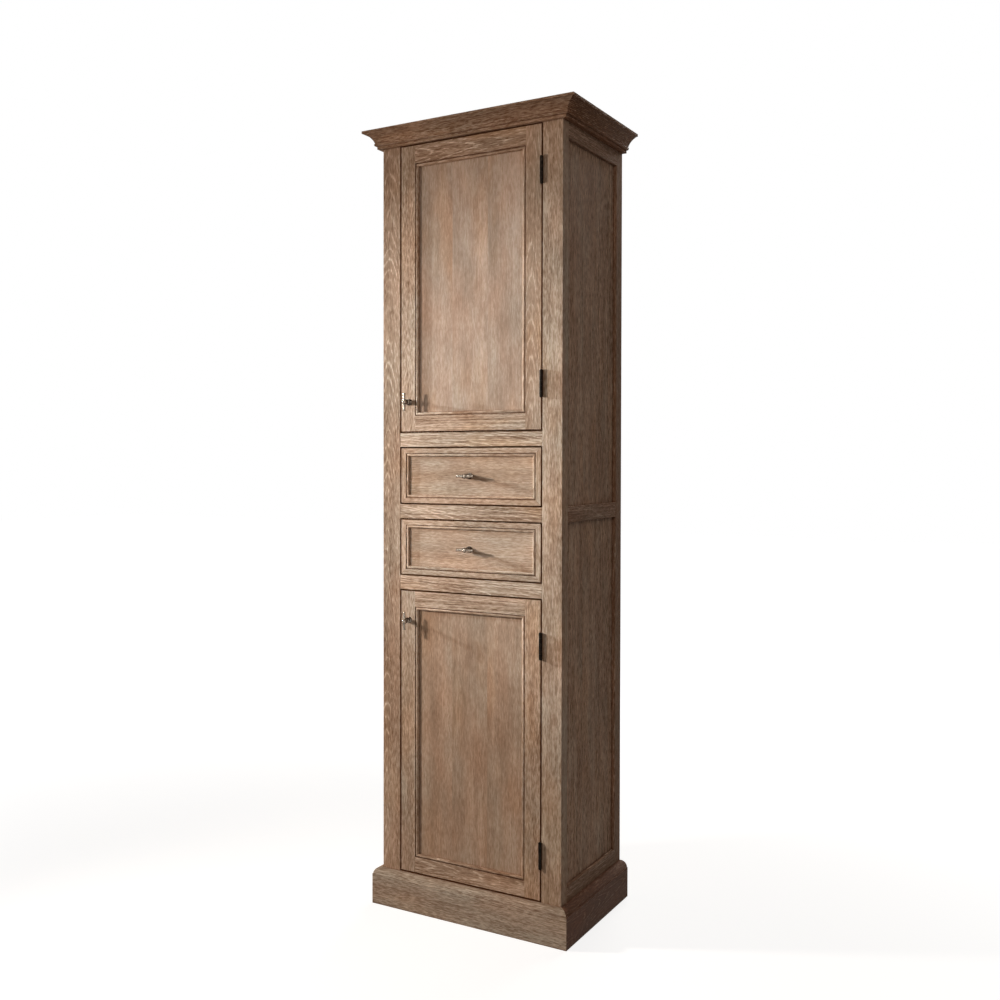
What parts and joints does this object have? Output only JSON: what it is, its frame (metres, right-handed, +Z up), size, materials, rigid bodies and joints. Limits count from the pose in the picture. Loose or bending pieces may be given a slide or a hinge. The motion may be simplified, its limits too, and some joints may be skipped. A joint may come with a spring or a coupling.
{
  "type": "tall bathroom cabinet",
  "caption": "Tall limed-oak bathroom cabinet with a cornice and plinth, a panelled door above and below a pair of drawers, butt hinges and turned T-bar handles.",
  "frame": {"origin": "on the floor, in the middle of the whole footprint, cornice included", "axes": "+X to the right and +Y to the back as one faces the doors, +Z up"},
  "size_m": [0.564, 0.453, 2],
  "materials": {
    "limed_oak": "open-grained oak rubbed with white wax, matt",
    "inner_oak": "plain oak, thin matt lacquer",
    "oak_plywood": "oak-faced plywood, matt",
    "antique_nickel": "aged nickel plate, darkened in the turned grooves",
    "blackened_iron": "black, satin",
    "catch_steel": "zinc plated"
  },
  "bodies": {
    "cabinet": {"front_post_left": "limed_oak", "front_post_right": "limed_oak", "back_post_left": "limed_oak", "back_post_right": "limed_oak", "bottom_front_rail": "limed_oak", "drawer_rails": "limed_oak", "top_front_rail": "limed_oak", "side_rails_left": "limed_oak", "side_rails_right": "limed_oak", "side_panels_left": "limed_oak", "side_panels_right": "limed_oak", "back_panel": "oak_plywood", "back_rails": "inner_oak", "floor_board": "inner_oak", "drawer_bay_floor": "inner_oak", "upper_floor_board": "inner_oak", "top_board": "limed_oak", "plinth_front": "limed_oak", "plinth_left": "limed_oak", "plinth_right": "limed_oak", "cornice_front": "limed_oak", "cornice_left": "limed_oak", "cornice_right": "limed_oak", "drawer_runners": "inner_oak", "upper_shelf_high": "inner_oak", "upper_shelf_low": "inner_oak", "lower_shelf": "inner_oak", "board_cleats": "inner_oak", "hinge_post_leaves": "blackened_iron", "hinge_pins": "blackened_iron", "door_catches": "catch_steel"},
    "upper_door": {"upper_door_hinge_stile": "limed_oak", "upper_door_lock_stile": "limed_oak", "upper_door_top_rail": "limed_oak", "upper_door_bottom_rail": "limed_oak", "upper_door_panel": "limed_oak", "upper_door_hinge_leaves": "blackened_iron", "upper_door_handle": "antique_nickel", "upper_door_strike": "catch_steel"},
    "lower_door": {"lower_door_hinge_stile": "limed_oak", "lower_door_lock_stile": "limed_oak", "lower_door_top_rail": "limed_oak", "lower_door_bottom_rail": "limed_oak", "lower_door_panel": "limed_oak", "lower_door_hinge_leaves": "blackened_iron", "lower_door_handle": "antique_nickel", "lower_door_strike": "catch_steel"},
    "upper_drawer": {"upper_drawer_front_frame": "limed_oak", "upper_drawer_front_panel": "limed_oak", "upper_drawer_box_sides": "inner_oak", "upper_drawer_box_ends": "inner_oak", "upper_drawer_bottom": "oak_plywood", "upper_drawer_handle": "antique_nickel"},
    "lower_drawer": {"lower_drawer_front_frame": "limed_oak", "lower_drawer_front_panel": "limed_oak", "lower_drawer_box_sides": "inner_oak", "lower_drawer_box_ends": "inner_oak", "lower_drawer_bottom": "oak_plywood", "lower_drawer_handle": "antique_nickel"}
  },
  "joints": [
    {"name": "upper_door_hinge", "type": "hinge", "parent": "cabinet", "child": "upper_door", "pos_m": [0.18975, -0.1897, 1.5895], "axis": [0, 0, 1], "range_deg": [0, 170]},
    {"name": "lower_door_hinge", "type": "hinge", "parent": "cabinet", "child": "lower_door", "pos_m": [0.18975, -0.1897, 0.458], "axis": [0, 0, 1], "range_deg": [0, 170]},
    {"name": "upper_drawer_slide", "type": "slide", "parent": "cabinet", "child": "upper_drawer", "axis": [0, -1, 0], "range_m": [0, 0.3]},
    {"name": "lower_drawer_slide", "type": "slide", "parent": "cabinet", "child": "lower_drawer", "axis": [0, -1, 0], "range_m": [0, 0.3]}
  ]
}
